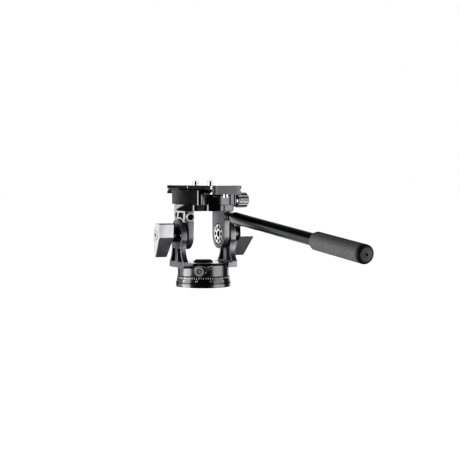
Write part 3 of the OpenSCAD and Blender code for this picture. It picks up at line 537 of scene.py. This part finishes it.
def crisp_group(degrees):
    """Node group that shades smooth and keeps edges steeper than the angle crisp."""
    tree = bpy.data.node_groups.new("crisp_edges", "GeometryNodeTree")
    for way in ("INPUT", "OUTPUT"):
        tree.interface.new_socket("Geometry", in_out=way, socket_type="NodeSocketGeometry")
    start, end = tree.nodes.new("NodeGroupInput"), tree.nodes.new("NodeGroupOutput")
    angle = tree.nodes.new("GeometryNodeInputMeshEdgeAngle")
    test = tree.nodes.new("FunctionNodeCompare")
    test.operation = "LESS_EQUAL"
    test.inputs["B"].default_value = math.radians(degrees)
    faces, edges = (tree.nodes.new("GeometryNodeSetShadeSmooth") for _ in range(2))
    edges.domain = "EDGE"
    tree.links.new(start.outputs[0], faces.inputs["Geometry"])
    tree.links.new(faces.outputs[0], edges.inputs["Geometry"])
    tree.links.new(angle.outputs["Unsigned Angle"], test.inputs["A"])
    tree.links.new(test.outputs[0], edges.inputs["Shade Smooth"])
    tree.links.new(edges.outputs[0], end.inputs[0])
    return tree


crisp = crisp_group(CRISP_DEGREES)


def soften(solid, width, steps=2):
    """Joins a solid's faces, rounds its edges by width millimetres and shades it crisply."""
    normals = solid.data.attributes.get("custom_normal")
    if normals:
        solid.data.attributes.remove(normals)
    weld = solid.modifiers.new("weld", "WELD")
    weld.merge_threshold = 0.002 * MM
    flat = solid.modifiers.new("flat", "DECIMATE")
    flat.decimate_type = "DISSOLVE"
    flat.angle_limit = math.radians(0.2)
    if width:
        bevel = solid.modifiers.new("edge", "BEVEL")
        bevel.width = width * MM
        bevel.segments = steps
        bevel.limit_method = "ANGLE"
        bevel.angle_limit = math.radians(CRISP_DEGREES)
        bevel.use_clamp_overlap = False
        bevel.miter_outer = "MITER_ARC"
    smooth = solid.modifiers.new("crisp", "NODES")
    smooth.node_group = crisp
    level = solid.modifiers.new("level", "WEIGHTED_NORMAL")
    level.keep_sharp = True


def dress(finish, width, *names):
    """Gives solids their finish and rounds their edges by width millimetres."""
    for name in names:
        mesh = nodes[name].data
        mesh.materials.clear()
        mesh.materials.append(finish)
        soften(nodes[name], width)


dress(black_turned, 0.45, "base_plate")
dress(ring_black, 0.45, "degree_ring")
dress(black_turned, 0.4, "pan_body", "left_collar", "right_collar", "handle_nut")
dress(black, 0.5, "top_plate", "clamp_body", "moving_jaw")
dress(plate_black, LENS_EDGE, "lens_plate")
dress(upright_grey, 0.5, "left_upright", "right_upright")
dress(arm_grey, 0.5, "left_arm", "right_arm")
dress(lever_black, 0.6, "pan_lock_lever")
dress(lock_screw_black, 0.3, "pan_lock_screw")
dress(cap_black, 0.15, "spindle_cap")
dress(silver, 0.6, "left_lock_knob", "right_lock_knob")
dress(silver, 0.3, "left_knob_cap", "right_knob_cap")
dress(disc_bright, 0.08, "left_axle", "right_axle")
dress(knob_grey, 0.3, "clamp_knob")
dress(stainless, 0.15, "tripod_bush", "pan_spindle", "base_screws", "upright_screws",
      "left_lock_screw", "right_lock_screw", "arm_screws", "clamp_bolts", "jaw_guide_pins", "clamp_screw",
      "clamp_knob_washer", "camera_screws", "stop_screws", "handle_stud", "handle_plug")
dress(bronze, 0.1, "left_tilt_bush", "right_tilt_bush", "pan_brake_shoe")
dress(washer, 0.1, "lower_thrust_washer", "upper_thrust_washer", "left_friction_washer",
      "right_friction_washer")
dress(tube_black, 0.2, "handle_tube")
dress(grip_rubber, 0, "handle_grip")
dress(end_black, 0.2, "handle_end_cap")


# Added pieces

def piece(name, body, finish, points, faces):
    """A new mesh piece from points in millimetres."""
    mesh = bpy.data.meshes.new(name)
    mesh.from_pydata([tuple(Vector(p) * MM) for p in points], [], faces)
    mesh.validate()
    bm = bmesh.new()
    bm.from_mesh(mesh)
    bmesh.ops.recalc_face_normals(bm, faces=bm.faces)
    bm.to_mesh(mesh)
    bm.free()
    mesh.materials.append(finish)
    made = bpy.data.objects.new(name, mesh)
    bpy.context.scene.collection.objects.link(made)
    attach(made, body)


class Slabs:
    """Collects thin raised marks, each an outline on a surface with a little thickness."""

    def __init__(self):
        self.points, self.faces = [], []

    def add(self, low, high):
        """low and high: the outline's points below and above the surface."""
        start, n = len(self.points), len(low)
        self.points += list(low) + list(high)
        self.faces.append([start + i for i in reversed(range(n))])
        self.faces.append([start + n + i for i in range(n)])
        for i in range(n):
            j = (i + 1) % n
            self.faces.append([start + i, start + j, start + n + j, start + n + i])

    def make(self, name, body):
        """Joins the marks into one white piece that rides on a body."""
        piece(name, body, white_mark, self.points, self.faces)


def box_outline(left, right, low, high):
    return [(left, low), (right, low), (right, high), (left, high)]


def ring_point(angle, z, lift):
    """Point on the degree ring's cone at an angle from its zero, lifted off the surface."""
    slope = (BASE_R - RING_TOP_R) / (RING_TOP_Z - RING_LOW_Z)
    r = BASE_R - (z - RING_LOW_Z) * slope + lift
    return r * math.sin(angle + RING_TURN), -r * math.cos(angle + RING_TURN), z


def ring_lines():
    """White scale of the degree ring: a line each 5 degrees, longer each 30."""
    gap, long_each, long_z, short_z, top_z = 5, 30, 9.3, 9.9, 11.2
    half = 0.2 / RING_TOP_R
    marks = Slabs()
    for degrees in range(0, 360, gap):
        angle = math.radians(degrees)
        low_z = short_z if degrees % long_each else long_z
        spots = box_outline(angle - half, angle + half, low_z, top_z)
        marks.add([ring_point(a, z, -MARK_SUNK) for a, z in spots],
                  [ring_point(a, z, MARK_PROUD) for a, z in spots])
    marks.make("degree_lines", "base")


def ring_numbers():
    """Numbers below the lines, set in a plain face and wrapped round the ring."""
    gap, middle_z, tall, thick = 30, 7.4, 2.2, 0.04
    points, faces = [], []
    for degrees in range(0, 360, gap):
        text = bpy.data.curves.new("number", "FONT")
        text.body = str(degrees)
        text.size = tall
        text.align_x = "CENTER"
        text.align_y = "CENTER"
        text.extrude = thick
        text.resolution_u = 3
        holder = bpy.data.objects.new("number", text)
        bpy.context.scene.collection.objects.link(holder)
        bpy.context.view_layer.update()
        mesh = bpy.data.meshes.new_from_object(holder.evaluated_get(bpy.context.evaluated_depsgraph_get()))
        start = len(points)
        for v in mesh.vertices:
            angle = math.radians(degrees) + v.co.x / BASE_R
            points.append(ring_point(angle, middle_z + v.co.y, v.co.z))
        faces += [[start + i for i in face.vertices] for face in mesh.polygons]
        bpy.data.objects.remove(holder)
        bpy.data.curves.remove(text)
        bpy.data.meshes.remove(mesh)
    piece("degree_numbers", "base", white_mark, points, faces)


def tilt_index():
    """White dot and short line on the left upright."""
    dot_y, dot_z, dot_r, sides = -13.9, 57.7, 0.8, 24
    turns = [math.tau * i / sides for i in range(sides)]
    dot = [(dot_y + dot_r * math.cos(a), dot_z + dot_r * math.sin(a)) for a in turns]
    dash = box_outline(-10.9, -10.1, 63.4, 65.0)
    marks = Slabs()
    for outline in (dot, dash):
        marks.add([(-UPRIGHT_OUT + MARK_SUNK, y, z) for y, z in outline],
                  [(-UPRIGHT_OUT - MARK_PROUD, y, z) for y, z in outline])
    marks.make("tilt_index", "yoke")


def plate_index():
    """White line near the middle of the lens plate, on both sides."""
    middle_y, half, low_z, top_z = 2.5, 0.35, 108.7, 111.2
    line = box_outline(middle_y - half, middle_y + half, low_z, top_z)
    marks = Slabs()
    for way in (-1, 1):
        marks.add([(way * (LENS_HALF_W - MARK_SUNK), y, z) for y, z in line],
                  [(way * (LENS_HALF_W + MARK_PROUD), y, z) for y, z in line])
    marks.make("plate_index", "plate")


def screw_threads(steps=24):
    """A low ridge of triangular section that winds up each camera screw, steps to a turn."""
    root, crest = SCREW_R - THREAD_SUNK, SCREW_R + THREAD_PROUD
    section = ((root, -THREAD_HALF), (crest, 0), (root, THREAD_HALF))
    count = int(steps * THREAD_TURNS) + 1
    points, faces = [], []
    for way in (-1, 1):
        start = len(points)
        for i in range(count):
            angle = math.tau * i / steps
            z = THREAD_LOW_Z + THREAD_HALF + THREAD_PITCH * i / steps
            for r, rise in section:
                y = LENS_Y + way * SCREW_APART + r * math.sin(angle)
                points.append((r * math.cos(angle), y, z + rise))
        for i in range(count - 1):
            a, b = start + 3 * i, start + 3 * i + 3
            faces += [(a, b, b + 1, a + 1), (a + 1, b + 1, b + 2, a + 2), (a + 2, b + 2, b, a)]
        last = start + 3 * (count - 1)
        faces += [(start, start + 1, start + 2), (last, last + 2, last + 1)]
    piece("screw_threads", "plate", stainless, points, faces)


ring_lines()
ring_numbers()
tilt_index()
plate_index()
screw_threads()


# Stage: floor, light and camera

def stage_floor():
    """A wide pale floor that glows white and leaves the part's light alone."""
    mesh = bpy.data.meshes.new("floor")
    corners = box_outline(-FLOOR_HALF, FLOOR_HALF, -FLOOR_HALF, FLOOR_HALF)
    mesh.from_pydata([(x * MM, y * MM, FLOOR_Z * MM) for x, y in corners], [], [(0, 1, 2, 3)])
    paper = Finish("pale_floor")
    mesh.materials.append(paper.close(grey(0.9), 0.8, Emission_Color=grey(1.0), Emission_Strength=1.0))
    floor = bpy.data.objects.new("floor", mesh)
    bpy.context.scene.collection.objects.link(floor)
    floor.visible_glossy = floor.visible_diffuse = floor.visible_shadow = False


def softbox(name, turn, lift, reach, wide, high, radiance):
    """Area light aimed at the head, sizes in metres. turn: degrees from straight back towards the left."""
    light = bpy.data.lights.new(name, "AREA")
    light.shape = "RECTANGLE"
    light.size, light.size_y = wide, high
    light.energy = radiance * math.pi * wide * high
    lamp = bpy.data.objects.new(name, light)
    a, e = math.radians(turn), math.radians(lift)
    way = Vector((-math.sin(a) * math.cos(e), -math.cos(a) * math.cos(e), math.sin(e)))
    lamp.location = LIGHT_AIM + way * reach
    lamp.rotation_mode = "QUATERNION"
    lamp.rotation_quaternion = way.to_track_quat("Z", "Y")
    lamp.visible_camera = False
    bpy.context.scene.collection.objects.link(lamp)
    return lamp


def aim_light(lamp, names, state):
    """Keeps a lamp's light to some solids (INCLUDE) or off them (EXCLUDE)."""
    group = bpy.data.collections.new(lamp.name + "_solids")
    for name in names:
        group.objects.link(nodes[name])
    lamp.light_linking.receiver_collection = group
    for item in group.collection_objects:
        item.light_linking.link_state = state


def softboxes():
    """Left, right and top light; the wing knobs have a softer left light and a front one of their own."""
    knobs = ("left_lock_knob", "right_lock_knob", "left_knob_cap", "right_knob_cap")
    left = {"turn": 100, "lift": -5, "reach": 0.9, "wide": 0.64, "high": 1.0}
    front = {"turn": 150, "lift": 0, "reach": 0.9, "wide": 0.6, "high": 0.8}
    right = {"turn": -45.5, "lift": -6, "reach": 0.5, "wide": 0.46, "high": 0.34}
    top = {"turn": 175, "lift": 66, "reach": 1.2, "wide": 1.0, "high": 0.6}
    aim_light(softbox("left_softbox", radiance=11.5, **left), knobs, "EXCLUDE")
    aim_light(softbox("left_knob_softbox", radiance=2.0, **left), knobs, "INCLUDE")
    aim_light(softbox("front_knob_softbox", radiance=0.6, **front), knobs, "INCLUDE")
    softbox("right_softbox", radiance=5.9, **right)
    softbox("top_softbox", radiance=0.9, **top)


def studio_world():
    """White paper to the camera; to the reflections a bright backdrop in a dark room."""
    world = bpy.data.worlds.new("white_room")
    bpy.context.scene.world = world
    f = Finish("white_room", world)

    def towards(way, *stops):
        """Light that changes with how far a view points along a direction."""
        return f.ramp(f.dot(f.place, way), *stops)

    # 0 straight down, 0.5 level, 1 straight up
    height = f.dot(f.place, (0, 0, 0.5)) + 0.5
    backdrop = towards((0.53, 0.848, 0), (0.78, 0), (0.88, 1))
    level = f.ramp(height, (0.2, 0.1), (0.36, 0.8), (0.54, 1), (0.62, 0.12))
    strip = towards((0.5, 0.82, 0.27), (0.955, 0), (0.985, 1))
    ground = f.ramp(height, (0.38, 1), (0.45, 0)) * towards((-0.17, 0.985, 0), (0.55, 0), (0.75, 1))
    # a panel to the front left, cut off upright on one side and level above and below
    panel_cut = f.dot(f.place, (-0.4415, -0.2345, 0)) + 0.5
    panel = (towards((-0.656, 0.755, 0), (0.8, 0), (0.84, 1))
             * f.ramp(panel_cut, (0.49, 0), (0.515, 1))
             * f.ramp(height, (0.355, 0), (0.39, 1), (0.59, 1), (0.625, 0)))
    glow = 0.03 + backdrop * level * 1.8 + strip * 0.4 + panel * 1.8 + ground * 0.9
    room = f.node("ShaderNodeBackground", None, {"Color": glow})
    paper = f.node("ShaderNodeBackground", None, {"Color": grey(1.0)})
    seen = f.node("ShaderNodeLightPath", output="Is Camera Ray")
    f.surface(f.node("ShaderNodeMixShader", None, {0: seen, 1: room, 2: paper}), "ShaderNodeOutputWorld")


def photo_camera():
    """Behind the head and a little to its left, just above it."""
    place, yaw, pitch = Vector((-522.4, -1226.4, 118.3)), math.radians(24.35), math.radians(-2.4)
    data = bpy.data.cameras.new("camera")
    data.sensor_width = 36.0
    data.lens = 93.9
    data.clip_start, data.clip_end = 0.05, 50
    camera = bpy.data.objects.new("camera", data)
    camera.location = place * MM
    camera.rotation_euler = (math.pi / 2 + pitch, 0, -yaw)
    bpy.context.scene.collection.objects.link(camera)
    bpy.context.scene.camera = camera


stage_floor()
studio_world()
softboxes()
photo_camera()
bpy.context.scene.view_settings.view_transform = "Standard"
